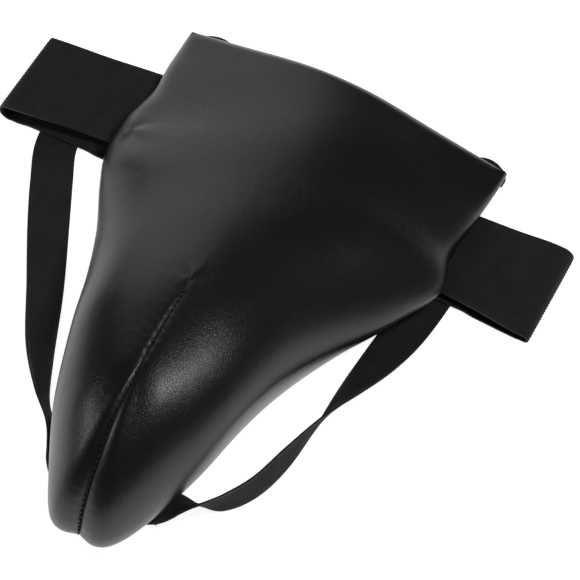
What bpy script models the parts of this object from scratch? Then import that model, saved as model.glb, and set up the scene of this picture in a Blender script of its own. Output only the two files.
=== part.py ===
"""Groin protector: a padded shield round a hard cup, an elastic waistband and two leg straps.

It lies face up. +X is to the right seen from the front, +Y runs from the tip to the waist edge,
+Z is the side that faces away from the wearer. The origin is under the middle of the waistband's
back layer, on the surface that the protector lies on.
"""
import math

import bmesh
import bpy
import numpy as np
from mathutils import Vector

# All lengths are in millimetres and are turned into metres where a mesh is made.
MM = 0.001
CLEARANCE = 0.3

# Outline of the shield, seen from the front, at its widest line. A reach is measured from the tip.
SHIELD_LENGTH = 325.0
TOP_HALF_WIDTH = 103.0
SIDE_CORNER_HALF_WIDTH = 107.0
SIDE_CORNER_REACH = 231.0
SIDE_PULL_IN = 4.0
CUP_HALF_WIDTH = 54.5
CUP_REACH = 95.0
TIP_LOBE_HALF_WIDTH = 20.0
TIP_LOBE_REACH = 5.0
TIP_NOTCH = 1.5

# Heights over the surface below: the ridge, the widest line and the seam under it.
CUP_HEIGHT = 88.0
CUP_RIDGE_START = 82.0
RIDGE_FAN_STEP = 2.0
DART_REACH = 137.0
TOP_RIDGE_HEIGHT = 38.0
TIP_EDGE_HEIGHT = 24.0
CUP_EDGE_HEIGHT = 49.0
NECK_EDGE_HEIGHT = 22.5
NECK_REACH = 205.0
SIDE_CORNER_EDGE_HEIGHT = 20.0
TOP_CORNER_EDGE_HEIGHT = 9.5
TIP_SEAM_HEIGHT = 7.5
CUP_SEAM_HEIGHT = 5.0
SIDE_CORNER_SEAM_HEIGHT = 10.0
TOP_CORNER_SEAM_HEIGHT = 4.5

# Layers, from the outside in.
COVER_THICKNESS = 1.5
LINING_THICKNESS = 1.2
PAD_THICKNESS_CUP = 16.0
PAD_THICKNESS_TOP = 13.0
CUP_UNDERCUT = 18.0
EDGE_ROLL = 8.0
LIP_WIDTH = 10.0
SEAM_STEP = 2.6
LIP_RISE = 4.5
EDGE_CROWN = 8.0
FRONT_FOAM_SHARE = 0.36
CUP_WALL_SHARE = 0.24
LAYER_GAP = 0.03
CUP_TRIM = 2.4
DART_GROOVE = 2.6
DART_GROOVE_WIDTH = 12.0
THREAD = 0.9
CUP_TOP_REACH = 190.0

# Elastic.
BAND_WIDTH = 60.0
BAND_THICKNESS = 1.4
BAND_MIDDLE_REACH = 262.0
LEFT_FOLD_X = -181.6
RIGHT_FOLD_X = 160.8
LEFT_FOLD_SHIFT = -5.5
RIGHT_FOLD_SHIFT = 3.5
LEFT_FOLD_HEIGHT = 6.0
RIGHT_FOLD_HEIGHT = 13.0
BAND_TUCK = 6.0
LEFT_WING_CLIMB = 10.0
RIGHT_WING_CLIMB = 0.0
ROOT_GATHER = 3.0
STRAP_WIDTH = 25.0
STRAP_THICKNESS = 1.2
STRAP_LAP = 34.0
BARTACK_FROM_EDGE = 12.0
BARTACK_WIDTH = 6.0
BARTACK_MARGIN = 2.0
LEFT_STRAP_TOP_X = -143.5
RIGHT_STRAP_TOP_X = 100.0
STRAP_END_X = 21.0
STRAP_END_REACH = 37.0
STRAP_END_RISE = 3.0
STRAP_RISE_FROM = 0.974
# The way of each strap from its top end to its sewn end: share of the distance across, share of
# the distance along, degrees turned on edge.
LEFT_STRAP_WAY = [
    (0.0, 0.0, 0), (0.0, 0.115, 0), (0.016, 0.197, 0), (0.094, 0.288, 6), (0.216, 0.415, 20),
    (0.388, 0.585, 38), (0.559, 0.751, 60), (0.682, 0.860, 80), (0.763, 0.921, 78),
    (0.829, 0.956, 50), (0.886, 0.974, 22), (0.943, 0.987, 3), (1.0, 1.0, 0),
]
RIGHT_STRAP_WAY = [
    (0.0, 0.0, 0), (0.0, 0.131, 0), (0.013, 0.253, 0), (0.051, 0.376, 5), (0.139, 0.498, 35),
    (0.24, 0.611, 66), (0.32, 0.734, 88), (0.415, 0.852, 90), (0.57, 0.926, 80),
    (0.70, 0.956, 50), (0.81, 0.974, 22), (0.905, 0.987, 3), (1.0, 1.0, 0),
]

# How finely the shield is divided.
STEPS_PER_OUTLINE_POINT = 2
ARCH_STEPS = 9
WING_STEPS = 6
FOLD_STEPS = 6
BAND_STEPS = 56
CURL_STEPS = 5

PARTS = "groin_protector"


def clear_scene():
    for thing in list(bpy.data.objects):
        bpy.data.objects.remove(thing, do_unlink=True)


def make_material(name, colour, roughness, sheen=0.0):
    material = bpy.data.materials.new(name)
    material.use_nodes = True
    shader = material.node_tree.nodes["Principled BSDF"]
    shader.inputs["Base Color"].default_value = (*colour, 1.0)
    shader.inputs["Roughness"].default_value = roughness
    shader.inputs["Metallic"].default_value = 0.0
    shader.inputs["Sheen Weight"].default_value = sheen
    return material


def add_object(name, mesh, material):
    thing = bpy.data.objects.new(name, mesh)
    mesh.materials.append(material)
    bpy.data.collections[PARTS].objects.link(thing)
    return thing


def add_mesh(name, points, faces, material, smooth=True):
    """One closed mesh, from points in millimetres measured from the tip."""
    mesh = bpy.data.meshes.new(name)
    placed = [(x * MM, (reach - BAND_MIDDLE_REACH) * MM, z * MM) for x, reach, z in points]
    mesh.from_pydata(placed, [], faces)
    shape = bmesh.new()
    shape.from_mesh(mesh)
    bmesh.ops.triangulate(shape, faces=shape.faces)
    bmesh.ops.recalc_face_normals(shape, faces=shape.faces)
    shape.to_mesh(mesh)
    shape.free()
    if smooth:
        mesh.shade_smooth()
        mesh.set_sharp_from_angle(angle=math.radians(50))
    return add_object(name, mesh, material)


def ease(value, low, high):
    """0 before low, 1 after high, smooth between."""
    share = min(max((value - low) / (high - low), 0.0), 1.0)
    return share * share * (3.0 - 2.0 * share)


def through(points, place):
    """Smooth curve through points of equal step, read at place (0 is the first point)."""
    points = np.asarray(points, float)
    last = len(points) - 1
    first = min(int(place), last - 1)
    share = place - first
    before = points[max(first - 1, 0)]
    start, end = points[first], points[first + 1]
    after = points[min(first + 2, last)]
    start_slope = (end - before) / 2.0
    end_slope = (after - start) / 2.0
    s2, s3 = share * share, share ** 3
    return ((2 * s3 - 3 * s2 + 1) * start + (s3 - 2 * s2 + share) * start_slope
            + (3 * s2 - 2 * s3) * end + (s3 - s2) * end_slope)


def by_reach(knots, reach):
    """A value given at some reaches, eased between them."""
    for (low, first), (high, second) in zip(knots, knots[1:]):
        if reach <= high:
            return first + (second - first) * ease(reach, low, high)
    return knots[-1][1]


# ---------------------------------------------------------------- the shield's own surfaces

def outline_points():
    """Half outline as (half width, reach), from the notch in the tip to the top corner."""
    flare = SIDE_CORNER_HALF_WIDTH - CUP_HALF_WIDTH
    neck = SIDE_CORNER_REACH - CUP_REACH
    side = SHIELD_LENGTH - SIDE_CORNER_REACH
    swell = CUP_HALF_WIDTH - TIP_LOBE_HALF_WIDTH
    cup = CUP_REACH - TIP_LOBE_REACH
    return [
        (0.0, TIP_NOTCH),
        (TIP_LOBE_HALF_WIDTH * 0.55, -0.5),
        (TIP_LOBE_HALF_WIDTH, TIP_LOBE_REACH),
        (TIP_LOBE_HALF_WIDTH + swell * 0.30, TIP_LOBE_REACH + cup * 0.20),
        (TIP_LOBE_HALF_WIDTH + swell * 0.70, TIP_LOBE_REACH + cup * 0.57),
        (CUP_HALF_WIDTH, CUP_REACH),
        (CUP_HALF_WIDTH + flare * 0.20, CUP_REACH + neck * 0.28),
        (CUP_HALF_WIDTH + flare * 0.44, CUP_REACH + neck * 0.52),
        (CUP_HALF_WIDTH + flare * 0.77, CUP_REACH + neck * 0.77),
        (SIDE_CORNER_HALF_WIDTH, SIDE_CORNER_REACH),
        (SIDE_CORNER_HALF_WIDTH - SIDE_PULL_IN, SIDE_CORNER_REACH + side * 0.28),
        (TOP_HALF_WIDTH - 1.0, SIDE_CORNER_REACH + side * 0.60),
        (TOP_HALF_WIDTH, SHIELD_LENGTH - EDGE_ROLL),
        (TOP_HALF_WIDTH, SHIELD_LENGTH),
    ]


def stations():
    """Places on the half outline where the shield gets a section, closer at the top edge."""
    last = len(outline_points()) - 1
    count = (last - 1) * STEPS_PER_OUTLINE_POINT
    even = [number / STEPS_PER_OUTLINE_POINT for number in range(count + 1)]
    return even + [last - 0.5, last - 0.15, last]


def edge_height(reach):
    """Height of the widest line of the padded edge."""
    return by_reach([(0.0, TIP_EDGE_HEIGHT), (CUP_REACH, CUP_EDGE_HEIGHT),
                     (NECK_REACH, NECK_EDGE_HEIGHT), (SIDE_CORNER_REACH, SIDE_CORNER_EDGE_HEIGHT),
                     (SHIELD_LENGTH, TOP_CORNER_EDGE_HEIGHT)], reach)


def hem_height(reach):
    """Height of the seam under the padded edge."""
    return by_reach([(0.0, TIP_SEAM_HEIGHT), (CUP_REACH, CUP_SEAM_HEIGHT),
                     (SIDE_CORNER_REACH, SIDE_CORNER_SEAM_HEIGHT),
                     (SHIELD_LENGTH, TOP_CORNER_SEAM_HEIGHT)], reach)


def ridge_height(reach):
    """Height of the centre line, level along the dart and falling to the top edge."""
    if reach <= DART_REACH:
        return CUP_HEIGHT
    share = (reach - DART_REACH) / (SHIELD_LENGTH - DART_REACH)
    fall = 0.78 * share + 0.55 * share ** 2 - 0.33 * share ** 3
    return CUP_HEIGHT - (CUP_HEIGHT - TOP_RIDGE_HEIGHT) * fall


def ridge_reach(reach, place):
    """Where the section that starts on the outline at a reach meets the centre line. Sections
    near the tip fan out from the ridge, each a little further along than the one before."""
    square_from = CUP_REACH * 2.1
    if reach >= square_from:
        return reach
    short = 1.0 - reach / square_from
    return reach + (CUP_RIDGE_START - TIP_NOTCH) * short ** 2.2 + RIDGE_FAN_STEP * place * short


def pad_thickness(reach):
    return by_reach([(CUP_REACH, PAD_THICKNESS_CUP), (SHIELD_LENGTH, PAD_THICKNESS_TOP)], reach)


def section(place, side):
    """Outer and inner points of one section, from the seam over the edge to the ridge."""
    half_width, reach = through(outline_points(), place)
    foot = np.array([side * half_width, reach])
    top = np.array([0.0, ridge_reach(reach, place)])
    length = np.linalg.norm(top - foot)
    inward = (top - foot) / length
    edge, hem = edge_height(reach), hem_height(reach)
    ridge = ridge_height(top[1])
    flare = ease(reach, CUP_REACH, SIDE_CORNER_REACH)
    upper = ease(reach, CUP_REACH, SHIELD_LENGTH)
    fullness = 1.6 + 0.6 * ease(reach, TIP_NOTCH, TIP_LOBE_REACH + 20.0) - 0.2 * flare
    steepness = 0.5 + 0.55 * upper + 0.25 * flare
    crown = EDGE_CROWN * flare
    thickness = pad_thickness(reach)
    undercut = CUP_UNDERCUT + (EDGE_ROLL - CUP_UNDERCUT) * flare
    seam_in = undercut + SEAM_STEP
    lip = hem + LIP_RISE
    wall = undercut + LIP_WIDTH - (undercut - EDGE_ROLL) * 0.8
    wall_height = lip + (edge - lip) * 0.6 * (1.0 - flare)
    turn_in = [(seam_in, hem), (undercut + LIP_WIDTH * 0.8, lip - LIP_RISE * 0.5),
               (wall, wall_height + 0.6)]
    inner_length = length - wall
    inner_ridge = ridge - thickness
    outer, inner = [], []
    for step in range(CURL_STEPS):
        angle = math.radians(90.0) * (1.0 - step / CURL_STEPS)
        at = foot + inward * undercut * (1.0 - math.cos(angle))
        outer.append((*at, edge - (edge - hem) * math.sin(angle)))
        across, height = through(turn_in, 2.0 * step / CURL_STEPS)
        inner.append((*(foot + inward * across), height))
    for step in range(ARCH_STEPS + 1):
        share = math.cos(math.radians(90.0) * step / ARCH_STEPS)
        arch = max(1.0 - share ** fullness, 0.0) ** steepness
        roll = math.sqrt(max(1.0 - share ** 14.0, 0.0))
        at = top - inward * length * share
        outer.append((*at, edge + crown * roll + (ridge - edge - crown) * arch))
        at = top - inward * inner_length * share
        low = turn_in[-1][1]
        inner.append((*at, low + (inner_ridge - low) * arch))
    return outer, inner


class Surface:
    """A sheet over the whole shield: rows from the left top corner round the tip to the right
    one, columns from the hem to the ridge. Left and right rows share the ridge's points."""

    def __init__(self, rows):
        self.rows = rows
        self.half = (len(rows) - 1) // 2
        self.columns = len(rows[0])

    def number(self, row, column):
        if column == self.columns - 1:
            row = self.half + abs(row - self.half)
        return row * self.columns + column

    def faces(self, keep):
        found = []
        for row in range(2 * self.half):
            for column in range(self.columns - 1):
                away = max(abs(row - self.half), abs(row + 1 - self.half))
                if not keep(away, column):
                    continue
                corners = [self.number(row, column), self.number(row + 1, column),
                           self.number(row + 1, column + 1), self.number(row, column + 1)]
                found.append(corners)
        return found

    def flat(self):
        return [point for row in self.rows for point in row]

    def normals(self):
        """Outward direction at each point, the mean of the faces round it."""
        points = np.array(self.flat())
        total = np.zeros_like(points)
        for corners in self.faces(everywhere):
            a, b, c, d = (points[corner] for corner in corners)
            direction = np.cross(c - a, d - b)
            for corner in corners:
                total[corner] += direction
        for row in range(len(self.rows)):
            last = self.columns - 1
            total[row * self.columns + last] = total[self.number(row, last)]
        total /= np.maximum(np.linalg.norm(total, axis=1)[:, None], 1e-9)
        middle = points[self.number(self.half, self.columns - 1)]
        if total[self.number(self.half, self.columns - 1)][2] < 0.0 and middle[2] > 0.0:
            total = -total
        return total

    def moved(self, distance):
        """The same sheet, moved outwards by a distance."""
        points = np.array(self.flat()) + self.normals() * distance
        rows = [points[row * self.columns:(row + 1) * self.columns] for row in range(len(self.rows))]
        return Surface([[tuple(point) for point in row] for row in rows])

    def between(self, other, share):
        """The sheet that lies a share of the way to another one."""
        rows = []
        for mine, theirs in zip(self.rows, other.rows):
            rows.append([tuple(np.array(a) * (1.0 - share) + np.array(b) * share)
                         for a, b in zip(mine, theirs)])
        return Surface(rows)


def shield_surfaces():
    """The cover's outside and the lining's outside."""
    places = stations()
    outer_rows, inner_rows = [], []
    for place in [-value for value in reversed(places[1:])] + places:
        outer, inner = section(abs(place), -1.0 if place < 0 else 1.0)
        outer_rows.append(outer)
        inner_rows.append(inner)
    outer_rows, inner_rows = close_top_edge(outer_rows, inner_rows)
    outer, inner = Surface(outer_rows), Surface(inner_rows)
    return dart_pressed_in(outer), inner


def close_top_edge(outer_rows, inner_rows):
    """Rolls the outside down to the lining over the last few millimetres of the top edge."""
    seam = COVER_THICKNESS + LINING_THICKNESS + CLEARANCE * 3.0
    start = SHIELD_LENGTH - EDGE_ROLL
    rolled = []
    for outer, inner in zip(outer_rows, inner_rows):
        row = []
        for column, (out, back) in enumerate(zip(outer, inner)):
            past = min(max((out[1] - start) / EDGE_ROLL, 0.0), 1.0)
            lowest = max(back[2] + seam, hem_height(out[1]) + EDGE_ROLL * 0.6)
            rolled_height = lowest + (out[2] - lowest) * math.sqrt(1.0 - past * past)
            share = ease(column, CURL_STEPS, CURL_STEPS + 2)
            height = out[2] + (min(rolled_height, out[2]) - out[2]) * share
            row.append((out[0], out[1], height))
        rolled.append(row)
    return rolled, inner_rows


def dart_pressed_in(outer):
    """Lowers the cover along the centre line, where the dart pulls it in."""
    normals = outer.normals()
    rows = []
    for row, points in enumerate(outer.rows):
        lowered = []
        for column, point in enumerate(points):
            across = 1.0 - ease(abs(point[0]), 0.0, DART_GROOVE_WIDTH / 2.0)
            along = 1.0 - ease(point[1], DART_REACH - 30.0, DART_REACH + 4.0)
            start = ease(column, CURL_STEPS - 1, CURL_STEPS + 1)
            depth = DART_GROOVE * across * along * start
            lowered.append(tuple(np.array(point) - normals[outer.number(row, column)] * depth))
        rows.append(lowered)
    return Surface(rows)


def everywhere(away, column):
    return True


def add_layer(name, outside, inside, keep, material):
    """A closed sheet of stuff between two surfaces, over the faces that are kept."""
    faces = outside.faces(keep)
    offset = len(outside.flat())
    points = outside.flat() + inside.flat()
    directed = {}
    for corners in faces:
        for first, second in zip(corners, corners[1:] + corners[:1]):
            directed[(first, second)] = True
    closed = [list(corners) for corners in faces]
    closed += [[corner + offset for corner in reversed(corners)] for corners in faces]
    for first, second in directed:
        if (second, first) not in directed:
            closed.append([second, first, first + offset, second + offset])
    used = sorted({corner for corners in closed for corner in corners})
    renumbered = {old: new for new, old in enumerate(used)}
    points = [points[old] for old in used]
    closed = [[renumbered[corner] for corner in corners] for corners in closed]
    return add_mesh(name, points, closed, material)


# ---------------------------------------------------------------- threads and elastic

def add_thread(name, points, material, thickness=THREAD):
    """A sewing thread drawn as one thin round cord through points."""
    curve = bpy.data.curves.new(name, "CURVE")
    curve.dimensions = "3D"
    curve.bevel_depth = thickness * MM / 2.0
    curve.bevel_resolution = 0
    curve.use_fill_caps = True
    spline = curve.splines.new("POLY")
    spline.points.add(len(points) - 1)
    for knot, (x, reach, z) in zip(spline.points, points):
        knot.co = (x * MM, (reach - BAND_MIDDLE_REACH) * MM, z * MM, 1.0)
    thing = bpy.data.objects.new(name, curve)
    curve.materials.append(material)
    bpy.data.collections[PARTS].objects.link(thing)
    return thing


def add_ribbon(name, near_edge, far_edge, thickness, material):
    """A flat strip of elastic between two edges, with the same number of points on each."""
    near = [Vector(point) for point in near_edge]
    far = [Vector(point) for point in far_edge]
    middle = [(a + b) / 2.0 for a, b in zip(near, far)]
    points, faces = [], []
    for number, (a, b) in enumerate(zip(near, far)):
        ahead = middle[min(number + 1, len(middle) - 1)] - middle[max(number - 1, 0)]
        up = ahead.cross(b - a).normalized() * thickness / 2.0
        points += [tuple(a + up), tuple(b + up), tuple(b - up), tuple(a - up)]
    for number in range(len(near) - 1):
        here, there = 4 * number, 4 * number + 4
        for corner in range(4):
            following = (corner + 1) % 4
            faces.append([here + corner, here + following, there + following, there + corner])
    end = 4 * (len(near) - 1)
    faces += [[3, 2, 1, 0], [end, end + 1, end + 2, end + 3]]
    return add_mesh(name, points, faces, material)


def band_shift(x):
    """How far the band has slipped along the body at a place across it."""
    return LEFT_FOLD_SHIFT + (RIGHT_FOLD_SHIFT - LEFT_FOLD_SHIFT) * (
        (x - LEFT_FOLD_X) / (RIGHT_FOLD_X - LEFT_FOLD_X))


def band_base(x):
    """Middle height of the back layer, which lies over the top end of each leg strap."""
    lift = 0.0
    for strap_x in (LEFT_STRAP_TOP_X, RIGHT_STRAP_TOP_X):
        flat = STRAP_WIDTH / 2.0 + 6.0
        lift = max(lift, 1.0 - ease(abs(x - strap_x), flat, flat + 8.0))
    return BAND_THICKNESS / 2.0 + lift * (STRAP_THICKNESS + CLEARANCE)


def side_edge_x(reach, side):
    """The shield's half width at a reach above the side corner."""
    places = np.linspace(9.0, len(outline_points()) - 1.0, 60)
    found = [through(outline_points(), place) for place in places]
    widths = np.interp(reach, [point[1] for point in found], [point[0] for point in found])
    return side * float(widths)


def fold_radius(height):
    """Radius of a fold whose outer layer lies at a height."""
    return (height - BAND_THICKNESS / 2.0) / 2.0


def wing_root(side, sign):
    """Where a long edge of the band's outer layer is sewn in: sign is -1 at the tip side. A side
    that curves outwards between the two edges takes the layer less far in."""
    climb = LEFT_WING_CLIMB if side < 0 else RIGHT_WING_CLIMB
    middle = BAND_MIDDLE_REACH + band_shift(side * SIDE_CORNER_HALF_WIDTH) + climb
    half = BAND_WIDTH / 2.0 - ROOT_GATHER
    low, centre, high = (abs(side_edge_x(middle + share * half, side)) for share in (-1.0, 0.0, 1.0))
    tuck = BAND_TUCK - max(centre - (low + high) / 2.0, 0.0) * 1.3
    reach = middle + sign * half
    x = side_edge_x(reach, side) - side * tuck
    return x, reach, hem_height(reach) - CLEARANCE * 2.0 - BAND_THICKNESS / 2.0


def wing_edge(side, sign):
    """One long edge of an outer layer, from the side seam out and round the fold."""
    low = BAND_THICKNESS / 2.0
    fold_x, open_height = (LEFT_FOLD_X, LEFT_FOLD_HEIGHT) if side < 0 else (
        RIGHT_FOLD_X, RIGHT_FOLD_HEIGHT)
    height = open_height if sign > 0 else LEFT_FOLD_HEIGHT
    radius = fold_radius(height)
    reach = BAND_MIDDLE_REACH + band_shift(fold_x) + sign * BAND_WIDTH / 2.0
    root_x, root_reach, root_z = wing_root(side, sign)
    run_end = fold_x - side * radius
    edge = []
    for step in range(WING_STEPS + 1):
        share = step / WING_STEPS
        edge.append((root_x + (run_end - root_x) * share, root_reach + (reach - root_reach) * share,
                     root_z + (height - root_z) * ease(share, 0.0, 1.0)))
    for step in range(1, FOLD_STEPS + 1):
        angle = math.radians(180.0) * step / FOLD_STEPS
        x = run_end + side * radius * math.sin(angle)
        edge.append((x, reach, low + radius * (1.0 + math.cos(angle))))
    edge[-1] = (fold_x - side * fold_radius(open_height), reach, low)
    return edge


def add_waistband(elastic):
    """Back layer and the two outer layers, parted at the folds."""
    half = BAND_WIDTH / 2.0
    gap = CLEARANCE * 2.0
    near, far = [], []
    for x in np.linspace(LEFT_FOLD_X + fold_radius(LEFT_FOLD_HEIGHT) + gap,
                         RIGHT_FOLD_X - fold_radius(RIGHT_FOLD_HEIGHT) - gap, BAND_STEPS + 1):
        middle = BAND_MIDDLE_REACH + band_shift(x)
        near.append((x, middle - half, band_base(x)))
        far.append((x, middle + half, band_base(x)))
    add_ribbon("waistband_back", near, far, BAND_THICKNESS, elastic)
    add_ribbon("waistband_left", wing_edge(-1.0, -1.0), wing_edge(-1.0, 1.0), BAND_THICKNESS, elastic)
    add_ribbon("waistband_right", wing_edge(1.0, -1.0), wing_edge(1.0, 1.0), BAND_THICKNESS, elastic)


def strap_route(route, side, steps):
    """Edges of a leg strap along a smooth route, turned about its own length."""
    last = len(route) - 1
    near, far = [], []
    places = np.linspace(0.0, last, steps)
    found = [through(route, place) for place in places]
    middle = [Vector(point[:3]) for point in found]
    for number in range(steps):
        ahead = middle[min(number + 1, steps - 1)] - middle[max(number - 1, 0)]
        ahead.normalize()
        level = Vector((ahead.y, -ahead.x, 0.0)).normalized()
        turn = side * math.radians(float(found[number][3]))
        across = level * math.cos(turn) + ahead.cross(level) * math.sin(turn)
        lift = Vector((0.0, 0.0, abs(math.sin(turn)) * STRAP_WIDTH / 2.0))
        near.append(middle[number] + lift - across * STRAP_WIDTH / 2.0)
        far.append(middle[number] + lift + across * STRAP_WIDTH / 2.0)
    return near, far


def strap_routes():
    """Middle lines of the two leg straps, from the waistband down to the tip, and how far each
    strap is turned on edge there. They lie flat and rise a little where they meet the lining."""
    flat = STRAP_THICKNESS / 2.0
    start = BAND_MIDDLE_REACH - BAND_WIDTH / 2.0 + STRAP_LAP
    routes = []
    for top_x, side, way in ((LEFT_STRAP_TOP_X, -1.0, LEFT_STRAP_WAY),
                             (RIGHT_STRAP_TOP_X, 1.0, RIGHT_STRAP_WAY)):
        end_x = side * STRAP_END_X
        routes.append([(top_x + (end_x - top_x) * across, start + (STRAP_END_REACH - start) * along,
                        flat + STRAP_END_RISE * max(along - STRAP_RISE_FROM, 0.0)
                        / (1.0 - STRAP_RISE_FROM), turn)
                       for across, along, turn in way])
    return routes


def add_leg_straps(elastic):
    for name, route, side in zip(("left_leg_strap", "right_leg_strap"), strap_routes(), (-1.0, 1.0)):
        near, far = strap_route(route, side, 4 * len(route))
        add_ribbon(name, near, far, STRAP_THICKNESS, elastic)


def zigzag(start, along, across, count):
    """Points of a zigzag stitch: count teeth, from a start point."""
    start, along, across = Vector(start), Vector(along), Vector(across)
    points = []
    for number in range(count + 1):
        sign = 0.5 if number % 2 else -0.5
        points.append(tuple(start + along * (number / count) + across * sign))
    return points


def add_dart_stitching(outer, thread):
    """The thread that closes the dart, lying in its groove."""
    last = outer.columns - 1
    normals = outer.normals()
    lift = THREAD / 2.0 + CLEARANCE * 2.0
    places = [(outer.half, column) for column in range(CURL_STEPS + 1, last)]
    places += [(row, last) for row in range(outer.half, 2 * outer.half + 1)
               if outer.rows[row][last][1] <= DART_REACH]
    points = [tuple(np.array(outer.rows[row][column]) + normals[outer.number(row, column)] * lift)
              for row, column in places]
    add_thread("dart_stitching", points, thread)


def add_edge_stitching(outer, thread):
    """The seam under the padded edge, round both sides and the tip."""
    drop = THREAD / 2.0 + CLEARANCE
    add_thread("edge_stitching", [(x, reach, z - drop) for x, reach, z in
                                  (row[0] for row in outer.rows)], thread)


def add_side_stitching(thread):
    """Straight rows that hold the waistband's outer layers in the side seams."""
    drop = BAND_THICKNESS / 2.0 + CLEARANCE + THREAD / 2.0
    for side, name in ((-1.0, "left_side_stitching"), (1.0, "right_side_stitching")):
        near, far = Vector(wing_root(side, -1.0)), Vector(wing_root(side, 1.0))
        step_in = Vector((side * 1.5, 0.0, -drop))
        add_thread(name, [tuple(near.lerp(far, share) + step_in)
                          for share in (0.06, 0.3, 0.55, 0.8)], thread)


def add_strap_bartacks(thread):
    """Zigzag rows that hold each leg strap's ends, on the band above and at the tip below."""
    lift = BAND_THICKNESS / 2.0 + CLEARANCE + THREAD / 2.0
    drop = STRAP_THICKNESS / 2.0 + CLEARANCE + THREAD / 2.0
    start_reach = BAND_MIDDLE_REACH - BAND_WIDTH / 2.0 + BARTACK_FROM_EDGE
    width = STRAP_WIDTH - 2.0 * BARTACK_MARGIN
    for route, name in zip(strap_routes(), ("left", "right")):
        x = route[0][0]
        start = (x - width / 2.0, start_reach, band_base(x) + lift)
        add_thread(name + "_strap_bartack",
                   zigzag(start, (width, 0.0, 0.0), (0.0, BARTACK_WIDTH, 0.0), 10), thread)
        end, before = Vector(route[-1][:3]), Vector(route[-2][:3])
        ahead = (end - before).normalized()
        level = Vector((ahead.y, -ahead.x, 0.0)).normalized()
        start = end - ahead * BARTACK_WIDTH - level * width / 2.0 - Vector((0.0, 0.0, drop))
        add_thread(name + "_tip_bartack",
                   zigzag(start, level * width, ahead * BARTACK_WIDTH, 10), thread)


def add_cup_trim(filling_out, filling_in, cup_rows, rubber):
    """Soft bead along the hard cup's edge, in the gap between the cup and the rim roll."""
    middle = FRONT_FOAM_SHARE + LAYER_GAP + CUP_WALL_SHARE / 2.0
    sheet = filling_out.between(filling_in, middle)
    points = []
    for row in range(sheet.half - cup_rows, sheet.half + cup_rows + 1):
        near = np.array(sheet.rows[row][CURL_STEPS])
        far = np.array(sheet.rows[row][CURL_STEPS + 1])
        points.append(tuple((near + far) / 2.0))
    add_thread("cup_edge_trim", points, rubber, CUP_TRIM)


def build():
    clear_scene()
    parts = bpy.data.collections.new(PARTS)
    bpy.context.scene.collection.children.link(parts)

    leather = make_material("black_leather", (0.018, 0.018, 0.019), 0.38)
    lining_cloth = make_material("lining_cloth", (0.02, 0.02, 0.022), 0.85, 0.2)
    foam = make_material("grey_foam", (0.22, 0.22, 0.23), 0.9)
    soft_foam = make_material("soft_foam", (0.32, 0.32, 0.33), 0.95)
    plastic = make_material("cup_plastic", (0.75, 0.75, 0.72), 0.35)
    rubber = make_material("trim_rubber", (0.05, 0.05, 0.05), 0.7)
    elastic = make_material("black_elastic", (0.022, 0.022, 0.024), 0.9, 0.3)
    thread = make_material("black_thread", (0.015, 0.015, 0.015), 0.6)

    outer, inner = shield_surfaces()
    add_layer("front_cover", outer, outer.moved(-COVER_THICKNESS), everywhere, leather)
    add_layer("back_lining", inner.moved(LINING_THICKNESS), inner, everywhere, lining_cloth)

    filling_out = outer.moved(-COVER_THICKNESS - CLEARANCE)
    filling_in = inner.moved(LINING_THICKNESS + CLEARANCE)
    top_row = outer.half - 3
    cup_rows = sum(1 for row in outer.rows[outer.half:] if row[0][1] < CUP_TOP_REACH)
    cup_column = CURL_STEPS + 1
    cup_start = FRONT_FOAM_SHARE + LAYER_GAP
    cup_end = cup_start + CUP_WALL_SHARE

    def sheet(share):
        return filling_out.between(filling_in, share)

    add_layer("front_foam", sheet(0.0), sheet(FRONT_FOAM_SHARE),
              lambda away, column: away <= top_row and column >= 1, foam)
    add_layer("hard_cup", sheet(cup_start), sheet(cup_end),
              lambda away, column: away <= cup_rows and column >= cup_column, plastic)
    add_layer("cup_liner_pad", sheet(cup_end + LAYER_GAP), sheet(1.0),
              lambda away, column: away <= cup_rows and column >= cup_column, soft_foam)
    add_layer("abdomen_pad", sheet(cup_start), sheet(1.0),
              lambda away, column: cup_rows + 1 < away <= top_row and column >= cup_column, foam)
    add_layer("rim_roll", sheet(cup_start), sheet(1.0),
              lambda away, column: away <= top_row and 1 <= column < CURL_STEPS, soft_foam)
    add_cup_trim(filling_out, filling_in, cup_rows, rubber)
    add_waistband(elastic)
    add_leg_straps(elastic)
    add_dart_stitching(outer, thread)
    add_edge_stitching(outer, thread)
    add_side_stitching(thread)
    add_strap_bartacks(thread)


build()
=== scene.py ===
"""Groin protector, face up: a padded shield round a hard cup, an elastic waistband, leg straps."""
import math

import bmesh
import bpy
import numpy as np
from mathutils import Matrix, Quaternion, Vector


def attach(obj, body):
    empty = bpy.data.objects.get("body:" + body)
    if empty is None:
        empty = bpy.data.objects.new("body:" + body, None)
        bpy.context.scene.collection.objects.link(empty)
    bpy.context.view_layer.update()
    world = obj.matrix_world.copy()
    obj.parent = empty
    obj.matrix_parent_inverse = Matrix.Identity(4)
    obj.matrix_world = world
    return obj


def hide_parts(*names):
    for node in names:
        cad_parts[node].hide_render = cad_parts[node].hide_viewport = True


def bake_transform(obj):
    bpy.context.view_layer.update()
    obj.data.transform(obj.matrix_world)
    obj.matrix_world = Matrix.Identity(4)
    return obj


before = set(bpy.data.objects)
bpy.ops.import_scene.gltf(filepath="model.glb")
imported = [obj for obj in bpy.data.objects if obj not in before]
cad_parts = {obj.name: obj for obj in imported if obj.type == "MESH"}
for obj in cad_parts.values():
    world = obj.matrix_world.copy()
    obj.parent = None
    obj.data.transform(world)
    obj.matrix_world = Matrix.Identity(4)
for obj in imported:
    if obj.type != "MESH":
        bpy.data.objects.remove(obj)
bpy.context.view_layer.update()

# ---------------------------------------------------------------------------------------------
# The shield's shape. A padded shell, made as rows of points that start at the seam under the edge,
# roll over the padded edge and climb to the ridge. Lengths are in millimetres, and a reach is
# measured from the tip.
MM = 0.001
BAND_MIDDLE_REACH = 262.0
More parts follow.
